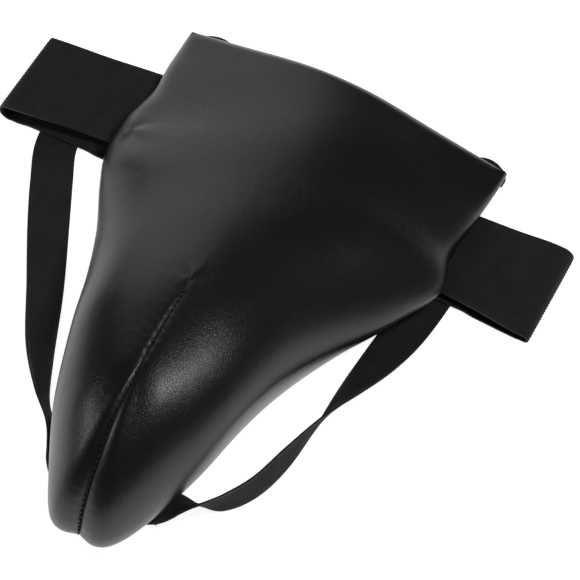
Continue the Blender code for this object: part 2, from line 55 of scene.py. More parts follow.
LENGTH, TOP_HALF_WIDTH = 325.0, 103.0
CORNER_HALF_WIDTH, CORNER_REACH, SIDE_PULL_IN = 107.0, 231.0, 4.0
CUP_HALF_WIDTH, CUP_REACH, CUP_HEIGHT = 54.5, 95.0, 88.0
LOBE_HALF_WIDTH, LOBE_REACH, TIP_NOTCH = 20.0, 5.0, 1.5
RIDGE_START, RIDGE_FAN_STEP, RIDGE_FAN_END = 82.0, 2.0, CUP_REACH * 2.1
TOP_RIDGE_HEIGHT, RIDGE_FALL_FROM, RIDGE_FALL_ROUNDING = 38.0, 134.0, 20.0
DART_REACH = 137.0
EDGE_HEIGHTS = [(0.0, 24.0), (95.0, 49.0), (205.0, 22.5), (231.0, 20.0), (325.0, 9.5)]
HEM_HEIGHTS = [(0.0, 7.5), (95.0, 5.0), (231.0, 10.0), (325.0, 4.5)]
PAD_CUP, PAD_TOP, COVER, LINING = 16.0, 13.0, 1.5, 1.2
CUP_UNDERCUT, EDGE_ROLL, LIP_WIDTH, SEAM_STEP, LIP_RISE, EDGE_CROWN = 18.0, 8.0, 10.0, 2.6, 4.5, 8.0
ROWS_PER_POINT, CURL_STEPS, ARCH_STEPS, RIDGE_STEPS = 12, 14, 50, 12
RIDGE_ANGLE = 84.0


def ease(value, low, high):
    share = np.clip((np.asarray(value, float) - low) / (high - low), 0.0, 1.0)
    return share * share * (3.0 - 2.0 * share)


def through(points, place):
    """Smooth curve through points of equal step, read at place."""
    points = np.asarray(points, float)
    last = len(points) - 1
    first = min(int(place), last - 1)
    share = place - first
    before, start, end = points[max(first - 1, 0)], points[first], points[first + 1]
    after = points[min(first + 2, last)]
    s2, s3 = share * share, share ** 3
    return ((2 * s3 - 3 * s2 + 1) * start + (s3 - 2 * s2 + share) * (end - before) / 2.0
            + (3 * s2 - 2 * s3) * end + (s3 - s2) * (after - start) / 2.0)


def by_reach(knots, reach):
    for (low, first), (high, second) in zip(knots, knots[1:]):
        if reach <= high:
            return first + (second - first) * float(ease(reach, low, high))
    return knots[-1][1]


def outline():
    flare, neck = CORNER_HALF_WIDTH - CUP_HALF_WIDTH, CORNER_REACH - CUP_REACH
    side, swell, cup = LENGTH - CORNER_REACH, CUP_HALF_WIDTH - LOBE_HALF_WIDTH, CUP_REACH - LOBE_REACH
    return [
        (0.0, TIP_NOTCH), (LOBE_HALF_WIDTH * 0.55, -0.5), (LOBE_HALF_WIDTH, LOBE_REACH),
        (LOBE_HALF_WIDTH + swell * 0.30, LOBE_REACH + cup * 0.20),
        (LOBE_HALF_WIDTH + swell * 0.70, LOBE_REACH + cup * 0.57),
        (CUP_HALF_WIDTH, CUP_REACH),
        (CUP_HALF_WIDTH + flare * 0.20, CUP_REACH + neck * 0.28),
        (CUP_HALF_WIDTH + flare * 0.44, CUP_REACH + neck * 0.52),
        (CUP_HALF_WIDTH + flare * 0.77, CUP_REACH + neck * 0.77),
        (CORNER_HALF_WIDTH, CORNER_REACH),
        (CORNER_HALF_WIDTH - SIDE_PULL_IN, CORNER_REACH + side * 0.28),
        (TOP_HALF_WIDTH - 1.0, CORNER_REACH + side * 0.60),
        (TOP_HALF_WIDTH, LENGTH - EDGE_ROLL), (TOP_HALF_WIDTH, LENGTH),
    ]


def ridge_height(reach):
    past = reach - RIDGE_FALL_FROM
    rounded = 0.5 * (past + math.hypot(past, RIDGE_FALL_ROUNDING))
    share = rounded / (LENGTH - RIDGE_FALL_FROM) - 0.004
    fall = 0.78 * share + 0.55 * share ** 2 - 0.33 * share ** 3
    return CUP_HEIGHT - (CUP_HEIGHT - TOP_RIDGE_HEIGHT) * fall


def section(place, side):
    """Outer and inner points of one row, from the seam over the edge to the ridge."""
    half_width, reach = through(outline(), place)
    ridge_reach = reach
    if reach < RIDGE_FAN_END:
        short = 1.0 - reach / RIDGE_FAN_END
        ridge_reach = (reach + (RIDGE_START - TIP_NOTCH) * short ** 2.2
                       + RIDGE_FAN_STEP * place * short)
    foot, top = np.array([side * half_width, reach]), np.array([0.0, ridge_reach])
    length = np.linalg.norm(top - foot)
    inward = (top - foot) / length
    edge, hem, ridge = by_reach(EDGE_HEIGHTS, reach), by_reach(HEM_HEIGHTS, reach), ridge_height(top[1])
    flare, upper = float(ease(reach, CUP_REACH, CORNER_REACH)), float(ease(reach, CUP_REACH, LENGTH))
    fullness = 1.6 + 0.6 * float(ease(reach, -4.0, 40.0)) - 0.2 * flare
    steepness = 0.5 + 0.55 * upper + 0.25 * flare
    thickness = by_reach([(CUP_REACH, PAD_CUP), (LENGTH, PAD_TOP)], reach)
    undercut = CUP_UNDERCUT + (EDGE_ROLL - CUP_UNDERCUT) * flare
    lip = hem + LIP_RISE
    wall = undercut + LIP_WIDTH - (undercut - EDGE_ROLL) * 0.8
    low = lip + (edge - lip) * 0.6 * (1.0 - flare) + 0.6
    turn_in = [(undercut + SEAM_STEP, hem),
               (undercut + LIP_WIDTH * 0.8, lip - LIP_RISE * 0.5),
               (wall, low)]
    outer, inner = [], []
    for step in range(CURL_STEPS):
        angle = math.radians(90.0) * (1.0 - step / CURL_STEPS)
        at = foot + inward * undercut * (1.0 - math.cos(angle))
        outer.append((*at, edge - (edge - hem) * math.sin(angle)))
        across, height = through(turn_in, 2.0 * step / CURL_STEPS)
        inner.append((*(foot + inward * across), height))
    angles = list(np.linspace(0.0, RIDGE_ANGLE, ARCH_STEPS + 1))
    angles += list(np.linspace(RIDGE_ANGLE, 90.0, RIDGE_STEPS + 1))[1:]
    for angle in angles:
        share = math.cos(math.radians(angle))
        bend = share ** 2 * ((share ** 2 + 0.03) / 1.03) ** (fullness / 2.0 - 1.0)
        arch = max(1.0 - bend, 0.0) ** steepness
        roll = math.sqrt(max(1.0 - share ** 14.0, 0.0))
        at = top - inward * length * share
        crown = EDGE_CROWN * flare
        outer.append((*at, edge + crown * roll + (ridge - edge - crown) * arch))
        at = top - inward * (length - wall) * share
        inner.append((*at, low + (ridge - thickness - low) * arch))
    return outer, inner


def shield_rows():
    last = len(outline()) - 1
    places = list(np.linspace(0.0, last, last * ROWS_PER_POINT + 1))
    outer, inner = [], []
    for place in [-value for value in reversed(places[1:])] + places:
        out, back = section(abs(place), -1.0 if place < 0 else 1.0)
        outer.append(out)
        inner.append(back)
    outer, inner = np.array(outer), np.array(inner)
    past = np.clip((outer[..., 1] - LENGTH + EDGE_ROLL) / EDGE_ROLL, 0.0, 1.0)
    hem = np.array([[by_reach(HEM_HEIGHTS, reach) for reach in row] for row in outer[..., 1]])
    lowest = np.maximum(inner[..., 2] + COVER + LINING + 0.9, hem + EDGE_ROLL * 0.6)
    rolled = np.minimum(lowest + (outer[..., 2] - lowest) * np.sqrt(1.0 - past * past), outer[..., 2])
    share = ease(np.arange(outer.shape[1]), CURL_STEPS, CURL_STEPS + 6)[None, :]
    outer[..., 2] += (rolled - outer[..., 2]) * share
    return outer, inner


def grid_normals(rows):
    """Outward direction at every point of a grid of rows."""
    along, across = np.gradient(rows, axis=0), np.gradient(rows, axis=1)
    found = np.cross(along, across)
    found /= np.maximum(np.linalg.norm(found, axis=2, keepdims=True), 1e-9)
    middle, last = len(rows) // 2, rows.shape[1] - 1
    for row in range(1, middle + 1):
        mean = found[middle - row, last] + found[middle + row, last]
        mean[0] = 0.0
        found[middle - row, last] = found[middle + row, last] = mean / max(np.linalg.norm(mean), 1e-9)
    centre = found[middle, last - 1:].mean(axis=0)
    found[middle, last] = np.array([0.0, centre[1], centre[2]]) / np.linalg.norm(centre[1:])
    return found if found[middle + middle // 2, last - 8][2] > 0.0 else -found


MIDDLE_LEAN, LEFT_HIP_LEAN, TIP_LEAN, TIP_PUSH = 2.0, 1.4, 2.4, 1.2
RIGHT_TOP_SAG, LEFT_TOP_FLARE = 2.5, 5.0
BULGE_REACH, BULGE_LENGTH, LEFT_BULGE, RIGHT_DRAW_IN = 255.0, 17.0, 4.0, 3.0
BROAD_WAVE, CROSS_WAVE = 0.9, 0.5


def settled(points):
    """The small ways in which a sewn, stuffed shield differs from its pattern: its middle leans
    left, its tip right, the left side bulges above the corner and the right is drawn in."""
    points = np.array(points, float)
    x, reach, z = points[..., 0].copy(), points[..., 1].copy(), points[..., 2].copy()
    points[..., 0] -= MIDDLE_LEAN * ease(reach, 55.0, 120.0) * (1.0 - ease(reach, 205.0, 240.0))
    points[..., 0] -= (LEFT_HIP_LEAN * ease(-x, 30.0, 70.0) * ease(reach, 110.0, 160.0)
                       * (1.0 - ease(reach, 210.0, 240.0)))
    tip = (1.0 - ease(reach, 10.0, 60.0)) * np.clip(z / 30.0, 0.0, 1.0)
    points[..., 0] += TIP_LEAN * tip
    points[..., 1] -= TIP_PUSH * tip
    points[..., 2] -= (RIGHT_TOP_SAG * ease(x, 10.0, 60.0) * ease(reach, 280.0, 325.0)
                       * (1.0 - ease(x, 95.0, 108.0)))
    bulge = np.exp(-((reach - BULGE_REACH) / BULGE_LENGTH) ** 2)
    points[..., 0] -= LEFT_BULGE * bulge * ease(-x, 70.0, 108.0)
    points[..., 0] -= RIGHT_DRAW_IN * bulge * ease(x, 70.0, 108.0)
    points[..., 0] -= LEFT_TOP_FLARE * ease(-x, 50.0, 100.0) * ease(reach, 262.0, 300.0)
    points[..., 2] += BROAD_WAVE * np.sin(x / 23.0 + reach / 41.0) * ease(reach, 120.0, 200.0)
    points[..., 2] += CROSS_WAVE * np.sin(reach / 13.0 - x / 19.0) * ease(reach, 150.0, 230.0)
    return points


def in_frame(points):
    points = np.asarray(points, float)
    return (points - np.array([0.0, BAND_MIDDLE_REACH, 0.0])) * MM


def mesh_piece(name, points, faces, material):
    """A smooth closed mesh from points in the shield's millimetres."""
    mesh = bpy.data.meshes.new(name)
    mesh.from_pydata([tuple(point) for point in in_frame(points)], [], [tuple(face) for face in faces])
    shape = bmesh.new()
    shape.from_mesh(mesh)
    bmesh.ops.remove_doubles(shape, verts=shape.verts, dist=1e-6)
    bmesh.ops.recalc_face_normals(shape, faces=shape.faces)
    shape.to_mesh(mesh)
    shape.free()
    mesh.shade_smooth()
    mesh.set_sharp_from_angle(angle=math.radians(60.0))
    mesh.materials.append(material)
    piece = bpy.data.objects.new(name, mesh)
    bpy.context.scene.collection.objects.link(piece)
    return piece


def shell(name, outside, inside, material, keep=lambda away, column: True):
    """A closed skin between two grids of rows that share their ridge points, where it is kept."""
    rows, columns = outside.shape[:2]
    middle, count = rows // 2, rows * columns

    def number(row, column):
        row = middle + abs(row - middle) if column == columns - 1 else row
        return row * columns + column

    faces, edges = [], set()
    for row in range(rows - 1):
        for column in range(columns - 1):
            if not keep(max(abs(row - middle), abs(row + 1 - middle)), column):
                continue
            corners = [number(row, column), number(row + 1, column),
                       number(row + 1, column + 1), number(row, column + 1)]
            corners = list(dict.fromkeys(corners))
            if len(corners) > 2:
                faces.append(corners)
                faces.append([corner + count for corner in reversed(corners)])
                edges.update(zip(corners, corners[1:] + corners[:1]))
    faces += [[b, a, a + count, b + count] for a, b in sorted(edges) if (b, a) not in edges]
    points = np.concatenate([outside.reshape(-1, 3), inside.reshape(-1, 3)])
    used = sorted({corner for face in faces for corner in face})
    place = {corner: new for new, corner in enumerate(used)}
    faces = [[place[corner] for corner in face] for face in faces]
    return mesh_piece(name, points[used], faces, material)


def new_material(name, colour, roughness, specular=0.5):
    material = bpy.data.materials.new(name)
    material.use_nodes = True
    shader = material.node_tree.nodes["Principled BSDF"]
    shader.inputs["Base Color"].default_value = (*colour, 1.0)
    shader.inputs["Roughness"].default_value = roughness
    shader.inputs["Specular IOR Level"].default_value = specular
    return material, shader, material.node_tree


def noise(tree, scale, detail, where):
    texture = tree.nodes.new("ShaderNodeTexNoise")
    texture.inputs["Scale"].default_value = scale
    texture.inputs["Detail"].default_value = detail
    tree.links.new(where, texture.inputs["Vector"])
    return texture.outputs["Fac"]


def spread(tree, value, low, high):
    """A value from 0.3 to 0.7 spread to a new range."""
    node = tree.nodes.new("ShaderNodeMapRange")
    node.inputs["From Min"].default_value, node.inputs["From Max"].default_value = 0.3, 0.7
    node.inputs["To Min"].default_value, node.inputs["To Max"].default_value = low, high
    tree.links.new(value, node.inputs["Value"])
    return node.outputs["Result"]


def bump(tree, shader, height, distance, strength, before=None):
    node = tree.nodes.new("ShaderNodeBump")
    node.inputs["Distance"].default_value, node.inputs["Strength"].default_value = distance, strength
    tree.links.new(height, node.inputs["Height"])
    if before is not None:
        tree.links.new(before, node.inputs["Normal"])
    tree.links.new(node.outputs["Normal"], shader.inputs["Normal"])
    return node.outputs["Normal"]


# ---------------------------------------------------------------------------------------------
# Front cover. Smooth black coated leather, cut in one piece, stretched over the foam and closed
# from the tip to the top of the cup by one dart. It is turned under the edge and sewn there.
GROOVE_DEPTH, GROOVE_HALF_WIDTH = 2.2, 1.9
PUCKER_STEP, PUCKER_HEIGHT, PUCKER_FROM_SEAM = 5.2, 0.09, 4.0
END_TUCK_HEIGHT, END_TUCK_SIZE = 0.35, 9.0
CORNER_TUCK_HEIGHT, CORNER_TUCK_SIZE, CORNER_TUCK_X, CORNER_TUCK_REACH = 0.5, 15.0, -96.0, 236.0
LEATHER_COLOUR, LEATHER_SHINIEST, LEATHER_DULLEST = (0.008, 0.008, 0.0083), 0.26, 0.34
GRAIN_SCALE, PORE_SCALE, SLACK_SCALE, WEAR_SCALE = 700.0, 260.0, 28.0, 14.0


def leather():
    material, shader, tree = new_material("leather_with_grain", LEATHER_COLOUR, 0.3)
    where = tree.nodes.new("ShaderNodeTexCoord").outputs["Object"]
    cells = tree.nodes.new("ShaderNodeTexVoronoi")
    cells.feature = "DISTANCE_TO_EDGE"
    cells.inputs["Scale"].default_value = GRAIN_SCALE
    tree.links.new(where, cells.inputs["Vector"])
    creases = tree.nodes.new("ShaderNodeMath")
    creases.operation = "MINIMUM"
    creases.inputs[1].default_value = 0.12
    tree.links.new(cells.outputs["Distance"], creases.inputs[0])
    first = bump(tree, shader, creases.outputs[0], 0.0007, 0.36)
    second = bump(tree, shader, noise(tree, PORE_SCALE, 4.0, where), 0.0005, 0.2, first)
    bump(tree, shader, noise(tree, SLACK_SCALE, 3.0, where), 0.0035, 0.14, second)
    wear = noise(tree, WEAR_SCALE, 4.0, where)
    tree.links.new(spread(tree, wear, LEATHER_SHINIEST, LEATHER_DULLEST), shader.inputs["Roughness"])
    return material


outer, inner = shield_rows()
outward = grid_normals(outer)
x, reach = outer[..., 0], outer[..., 1]
middle_row = len(outer) // 2
in_dart = (1.0 - ease(reach, DART_REACH - 26.0, DART_REACH + 2.0)) * ease(
    np.arange(outer.shape[1]), CURL_STEPS - 6, CURL_STEPS + 4)[None, :]
groove = np.exp(-np.abs(x) / GROOVE_HALF_WIDTH) * in_dart * (
    0.55 + 0.45 * (1.0 - ease(reach, 60.0, 125.0)))
along = reach * 0.8 + outer[..., 2] * 0.6
puckers = np.sin(2.0 * math.pi * along / PUCKER_STEP + 1.4 * np.sin(along / 11.0)) * np.exp(
    -(np.abs(x) - PUCKER_FROM_SEAM) ** 2 / 22.0) * in_dart
away = np.hypot(x + 1.0, reach - DART_REACH - 3.0)
end_tuck = END_TUCK_HEIGHT * np.exp(-(away / END_TUCK_SIZE) ** 2) * np.cos(
    3.0 * np.arctan2(x + 1.0, reach - DART_REACH))
corner = np.hypot(x - CORNER_TUCK_X, reach - CORNER_TUCK_REACH)
corner_tuck = CORNER_TUCK_HEIGHT * np.exp(-(corner / CORNER_TUCK_SIZE) ** 2) * np.cos(
    3.0 * np.arctan2(reach - CORNER_TUCK_REACH, x - CORNER_TUCK_X) + 0.6)
raised = -GROOVE_DEPTH * groove + PUCKER_HEIGHT * puckers + end_tuck + corner_tuck
cover_rows = outer + outward * raised[..., None]
cover = shell("front_cover_leather", settled(cover_rows), settled(cover_rows - outward * COVER),
              leather())
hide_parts("front_cover")
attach(cover, "shield")

# ---------------------------------------------------------------------------------------------
# Dart stitches. Waxed black thread, one short stitch after another in the bottom of the groove
# that the dart makes, from under the tip to the top of the cup.
STITCH_LENGTH, STITCH_STEP, STITCH_THICKNESS = 2.7, 3.5, 0.95
STITCH_SIDES, STITCH_RINGS = 8, 7
THREAD_COLOUR = (0.02, 0.02, 0.021)


def thread_material():
    material, shader, tree = new_material("waxed_thread", THREAD_COLOUR, 0.5)
    where = tree.nodes.new("ShaderNodeTexCoord").outputs["Object"]
    bump(tree, shader, noise(tree, 2400.0, 2.0, where), 0.0003, 0.5)
    tree.links.new(spread(tree, noise(tree, 300.0, 2.0, where), 0.42, 0.6), shader.inputs["Roughness"])
    return material


def stitches(name, path, normals, length, step, thickness, material):
    """Short rounded stitches laid one after another along a path, proud of it on one side."""
    path = np.asarray(path, float)
    normals = np.broadcast_to(np.asarray(normals, float), path.shape)
    gaps = np.linalg.norm(np.diff(path, axis=0), axis=1)
    run = np.concatenate([[0.0], np.cumsum(gaps)])
    points, faces = [], []
    sides, rings = STITCH_SIDES, STITCH_RINGS
    for start in np.arange(step * 0.2, run[-1] - length, step):
        a, b = (np.array([np.interp(at, run, path[:, axis]) for axis in range(3)])
                for at in (start, start + length))
        up = np.array([np.interp(start + length / 2.0, run, normals[:, axis]) for axis in range(3)])
        ahead = (b - a) / np.linalg.norm(b - a)
        side = np.cross(ahead, up)
        side /= np.linalg.norm(side)
        up = np.cross(side, ahead)
        base = len(points)
        for ring in range(rings):
            share = ring / (rings - 1)
            bow = math.sin(math.pi * share)
            radius = thickness / 2.0 * max(bow, 0.02) ** 0.4
            centre = a + (b - a) * share + up * (thickness * 0.45 * bow - thickness * 0.25)
            for corner in range(sides):
                turn = 2.0 * math.pi * corner / sides
                points.append(centre + (side * math.cos(turn) + up * math.sin(turn)) * radius)
        for here in range(base, base + (rings - 1) * sides, sides):
            for corner in range(sides):
                following = (corner + 1) % sides
                faces.append([here + corner, here + following,
                              here + sides + following, here + sides + corner])
        faces.append([base + corner for corner in reversed(range(sides))])
        faces.append([base + (rings - 1) * sides + corner for corner in range(sides)])
    return mesh_piece(name, points, faces, material)


thread = thread_material()
last_column = outer.shape[1] - 1
route = [(middle_row, column) for column in range(CURL_STEPS - 3, last_column)]
route += [(row, last_column) for row in range(middle_row, len(outer))
          if outer[row, last_column, 1] < DART_REACH - 2.0]
dart_path = np.array([settled(cover_rows[at]) + outward[at] * 0.5 for at in route])
dart_up = np.array([outward[at] for at in route])
dart = stitches("dart_stitches", dart_path, dart_up, STITCH_LENGTH, STITCH_STEP, STITCH_THICKNESS,
                thread)
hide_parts("dart_stitching")
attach(dart, "shield")

# ---------------------------------------------------------------------------------------------
# Back lining. Close-woven matt black cloth over the inside of the padding. It is sewn to the
# cover under the edge, round the tip and both sides, and shows above it at both top corners.
TAB_RISE, TAB_THICKNESS, TAB_STEPS = 9.0, 1.4, 24
TAB_LOWEST, TAB_ARCH, TAB_ARCH_WIDTH = 4.5, 8.0, 34.0
LINING_COLOUR, LINING_SLACK = (0.018, 0.018, 0.02), 0.35


def woven(name, colour, scale, roughness):
    material, shader, tree = new_material(name, colour, roughness, 0.3)
    where = tree.nodes.new("ShaderNodeTexCoord").outputs["Object"]
    heights = []
    for direction in ("X", "Y"):
        wave = tree.nodes.new("ShaderNodeTexWave")
        wave.bands_direction = direction
        wave.inputs["Scale"].default_value = scale
        wave.inputs["Distortion"].default_value = 0.4
        tree.links.new(where, wave.inputs["Vector"])
        heights.append(wave.outputs["Fac"])
    weave = tree.nodes.new("ShaderNodeMath")
    weave.operation = "MAXIMUM"
    tree.links.new(heights[0], weave.inputs[0])
    tree.links.new(heights[1], weave.inputs[1])
    first = bump(tree, shader, weave.outputs[0], 0.0004, 0.5)
    bump(tree, shader, noise(tree, 60.0, 3.0, where), 0.002, 0.15, first)
    tree.links.new(spread(tree, noise(tree, 40.0, 3.0, where), roughness - 0.08, roughness + 0.05),
                   shader.inputs["Roughness"])
    return material


lining_cloth = woven("lining_weave", LINING_COLOUR, 160.0, 0.85)
inner_out = grid_normals(inner)
slack = LINING_SLACK * np.sin(inner[..., 1] / 5.5 + inner[..., 0] / 17.0) * ease(inner[..., 1], 90.0, 150.0)
lining_rows = inner + inner_out * slack[..., None]
lining = shell("back_lining_cloth", settled(lining_rows + inner_out * LINING), settled(lining_rows),
               lining_cloth)
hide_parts("back_lining")
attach(lining, "shield")

for tab_name, tab_start, tab_end in (("left_top_corner_lining", -102.0, -74.0),
                                     ("right_top_corner_lining", 78.0, 103.0)):
    points, faces = [], []
    for step in range(TAB_STEPS + 1):
        share = step / TAB_STEPS
        at = tab_start + (tab_end - tab_start) * share
        sewn = LENGTH - 6.0
        free = LENGTH - 1.0 + (TAB_RISE * max(math.sin(math.pi * share), 0.0) ** 0.6 + 0.3)
        low = TAB_LOWEST + TAB_ARCH * float(ease(102.0 - abs(at), 0.0, TAB_ARCH_WIDTH))
        points += [(at, sewn, low), (at, sewn, low + TAB_THICKNESS),
                   (at, free, low * 0.75 + TAB_THICKNESS), (at, free, low * 0.75)]
    for here in range(0, 4 * TAB_STEPS, 4):
        for corner in range(4):
            following = (corner + 1) % 4
            faces.append([here + corner, here + following, here + 4 + following, here + 4 + corner])
    faces += [[3, 2, 1, 0], list(range(4 * TAB_STEPS, 4 * TAB_STEPS + 4))]
    tab = mesh_piece(tab_name, settled(np.array(points)), faces, lining_cloth)
    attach(tab, "shield")

# ---------------------------------------------------------------------------------------------
# Edge seam. The row of stitches in the same thread under the padded edge, which joins the cover
# and the lining round the tip and both sides.
EDGE_STITCH_LENGTH, EDGE_STITCH_STEP, EDGE_STITCH_THICKNESS = 3.4, 4.4, 0.9
hem_path = settled(cover_rows[:, 0]) - np.array([0.0, 0.0, 0.35])
edge_seam = stitches("edge_stitches", hem_path, (0.0, 0.0, -1.0),
                     EDGE_STITCH_LENGTH, EDGE_STITCH_STEP, EDGE_STITCH_THICKNESS, thread)
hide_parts("edge_stitching")
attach(edge_seam, "shield")

# ---------------------------------------------------------------------------------------------
# Padding and cup, all closed in between cover and lining: foam under the cover, a moulded cup
# with a soft bead on its edge, soft foam inside it, a belly pad and a rolled edge.
FRONT_FOAM_SHARE, CUP_WALL_SHARE, LAYER_GAP, SKIN_GAP = 0.36, 0.24, 0.03, 0.3
CUP_TOP_REACH, COARSE = 190.0, 3
FIRM_FOAM_COLOUR, SOFT_FOAM_COLOUR, CUP_COLOUR = (0.2, 0.2, 0.21), (0.32, 0.32, 0.33), (0.72, 0.72, 0.69)


def foam(name, colour, scale):
    material, shader, tree = new_material(name, colour, 0.92, 0.2)
    where = tree.nodes.new("ShaderNodeTexCoord").outputs["Object"]
    bump(tree, shader, noise(tree, scale, 4.0, where), 0.0006, 0.6)
    tree.links.new(spread(tree, noise(tree, 30.0, 2.0, where), 0.85, 0.97), shader.inputs["Roughness"])
    return material


picked_rows = range(0, len(outer), COARSE)
picked_columns = list(range(0, last_column, COARSE)) + [last_column]
filling_out = (cover_rows - outward * (COVER + SKIN_GAP))[picked_rows][:, picked_columns]
filling_in = (lining_rows + inner_out * (LINING + SKIN_GAP))[picked_rows][:, picked_columns]
half_rows, curl_columns = len(picked_rows) // 2, CURL_STEPS // COARSE + 1
cup_rows = int((filling_out[half_rows:, 0, 1] < CUP_TOP_REACH).sum())
cup_start = FRONT_FOAM_SHARE + LAYER_GAP
cup_end = cup_start + CUP_WALL_SHARE


def filling(name, node, first, second, keep, material):
    """A closed layer of the filling between two shares of the way from cover to lining."""
    sheets = [settled(filling_out * (1.0 - share) + filling_in * share) for share in (first, second)]
    piece = shell(name, sheets[0], sheets[1], material, keep)
    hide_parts(node)
    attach(piece, "shield")
    return piece


firm = foam("firm_foam", FIRM_FOAM_COLOUR, 700.0)
soft = foam("soft_foam_fill", SOFT_FOAM_COLOUR, 500.0)
plastic, plastic_shader, plastic_tree = new_material("moulded_cup_plastic", CUP_COLOUR, 0.38)
plastic_where = plastic_tree.nodes.new("ShaderNodeTexCoord").outputs["Object"]
bump(plastic_tree, plastic_shader, noise(plastic_tree, 900.0, 2.0, plastic_where), 0.0002, 0.2)
plastic_tree.links.new(spread(plastic_tree, noise(plastic_tree, 20.0, 2.0, plastic_where), 0.32, 0.46),
                       plastic_shader.inputs["Roughness"])
top_row = half_rows - 5
filling("front_foam_pad", "front_foam", 0.0, FRONT_FOAM_SHARE,
                  lambda away, column: away <= top_row and column >= 1, firm)
filling("moulded_cup", "hard_cup", cup_start, cup_end,
        lambda away, column: away <= cup_rows and column > curl_columns, plastic)
filling("cup_lining_foam", "cup_liner_pad", cup_end + LAYER_GAP, 1.0,
                  lambda away, column: away <= cup_rows and column > curl_columns, soft)
filling("belly_foam_pad", "abdomen_pad", cup_start, 1.0,
                  lambda away, column: cup_rows + 1 < away <= top_row and column > curl_columns, firm)
filling("rolled_edge_foam", "rim_roll", cup_start, 1.0,
                  lambda away, column: away <= top_row and 1 <= column < curl_columns, soft)

BEAD_LENGTH, BEAD_STEP, BEAD_THICKNESS = 12.0, 11.0, 2.4
rubber, rubber_shader, rubber_tree = new_material("edge_bead_rubber", (0.05, 0.05, 0.05), 0.7)
rubber_where = rubber_tree.nodes.new("ShaderNodeTexCoord").outputs["Object"]
bump(rubber_tree, rubber_shader, noise(rubber_tree, 600.0, 2.0, rubber_where), 0.0002, 0.3)
bead_share = cup_start + CUP_WALL_SHARE / 2.0
bead_rows = slice(half_rows - cup_rows, half_rows + cup_rows + 1)
bead_path = settled(filling_out[bead_rows, curl_columns] * (1.0 - bead_share)
                    + filling_in[bead_rows, curl_columns] * bead_share)
bead = stitches("cup_edge_bead", bead_path, (0.0, 0.0, 1.0), BEAD_LENGTH, BEAD_STEP, BEAD_THICKNESS,
                rubber)
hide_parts("cup_edge_trim")
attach(bead, "shield")

# ---------------------------------------------------------------------------------------------
# Waistband. One length of black woven elastic, 60 mm wide, stitched under both sides of the shield
# and folded back behind it, over the ends of the leg straps. Fine cords run along it between two
# smoother selvedges.
BAND_WIDTH, BAND_THICKNESS, BAND_CORDS = 60.0, 1.4, 30
LEFT_FOLD_X, RIGHT_FOLD_X = -181.6, 160.8
LEFT_FOLD_SHIFT, RIGHT_FOLD_SHIFT = -7.0, 3.5
LEFT_FOLD_HEIGHT, RIGHT_FOLD_HEIGHT, LOW_FOLD_HEIGHT = 13.0, 13.0, 6.0
LEFT_WING_CLIMB, RIGHT_WING_CLIMB, BAND_TUCK, ROOT_GATHER = 8.5, 1.5, 6.0, 1.0
STRAP_WIDTH, STRAP_THICKNESS, STRAP_LAP = 25.0, 1.2, 34.0
LEFT_STRAP_TOP_X, RIGHT_STRAP_TOP_X = -143.5, 100.0
CORD_HEIGHT, SELVEDGE = 0.26, 2.4
RIGHT_SLIP, WING_SAG, WING_GAP, WING_STEPS, FOLD_STEPS, BACK_STEPS = 2.0, 0.7, 0.6, 36, 14, 170
STRAP_LIFT, STRAP_LIFT_MARGIN, STRAP_LIFT_SLOPE = 0.3, 6.0, 8.0
SIDE_STITCH_LENGTH, SIDE_STITCH_STEP, SIDE_STITCH_THICKNESS = 3.0, 4.0, 0.8
ELASTIC_COLOUR = (0.022, 0.022, 0.023)


def elastic_material():
    material, shader, tree = new_material("woven_elastic", ELASTIC_COLOUR, 0.72, 0.4)
    where = tree.nodes.new("ShaderNodeTexCoord").outputs["Object"]
    first = bump(tree, shader, noise(tree, 1500.0, 3.0, where), 0.0004, 0.6)
    bump(tree, shader, noise(tree, 120.0, 2.0, where), 0.001, 0.12, first)
    tree.links.new(spread(tree, noise(tree, 90.0, 3.0, where), 0.72, 0.9), shader.inputs["Roughness"])
    return material


def ribbon(name, near, far, thickness, cords, material):
    """A strip of elastic between two long edges, with raised cords along it."""
    near, far = np.asarray(near, float), np.asarray(far, float)
    middle = (near + far) / 2.0
    ahead = np.gradient(middle, axis=0)
    up = np.cross(ahead, far - near)
    up /= np.linalg.norm(up, axis=1, keepdims=True)
    width = float(np.linalg.norm(far[0] - near[0]))
    across = np.linspace(0.0, 1.0, cords * 4 + 1)
    from_edge = np.minimum(across, 1.0 - across) * width
    cord = CORD_HEIGHT * np.cos(2.0 * math.pi * cords * across)
    cord *= ease(from_edge, SELVEDGE - 0.8, SELVEDGE)
    half = thickness / 2.0 * ease(from_edge, -1.2, 0.5) ** 0.5 + cord
    flat = near[:, None, :] + (far - near)[:, None, :] * across[None, :, None]
    top = flat + up[:, None, :] * half[None, :, None]
    bottom = flat - up[:, None, :] * half[None, :, None]
    ring = np.concatenate([top, bottom[:, ::-1]], axis=1)
    count = ring.shape[1]
    faces = []
    for step in range(len(ring) - 1):
        here, there = step * count, (step + 1) * count
        for corner in range(count):
            following = (corner + 1) % count
            faces.append([here + corner, here + following, there + following, there + corner])
    side = len(across)
    for base, turned in ((0, True), ((len(ring) - 1) * count, False)):
        for corner in range(side - 1):
            opposite = base + count - 1 - corner
            face = [base + corner, base + corner + 1, opposite - 1, opposite]
            faces.append(face[::-1] if turned else face)
    return mesh_piece(name, ring.reshape(-1, 3), faces, material)


def band_shift(at):
    """How far the band has slid towards the waist, at one place along it."""
    return LEFT_FOLD_SHIFT + (RIGHT_FOLD_SHIFT - LEFT_FOLD_SHIFT) * (
        (at - LEFT_FOLD_X) / (RIGHT_FOLD_X - LEFT_FOLD_X)) - RIGHT_SLIP * float(ease(at, 115.0, 158.0))


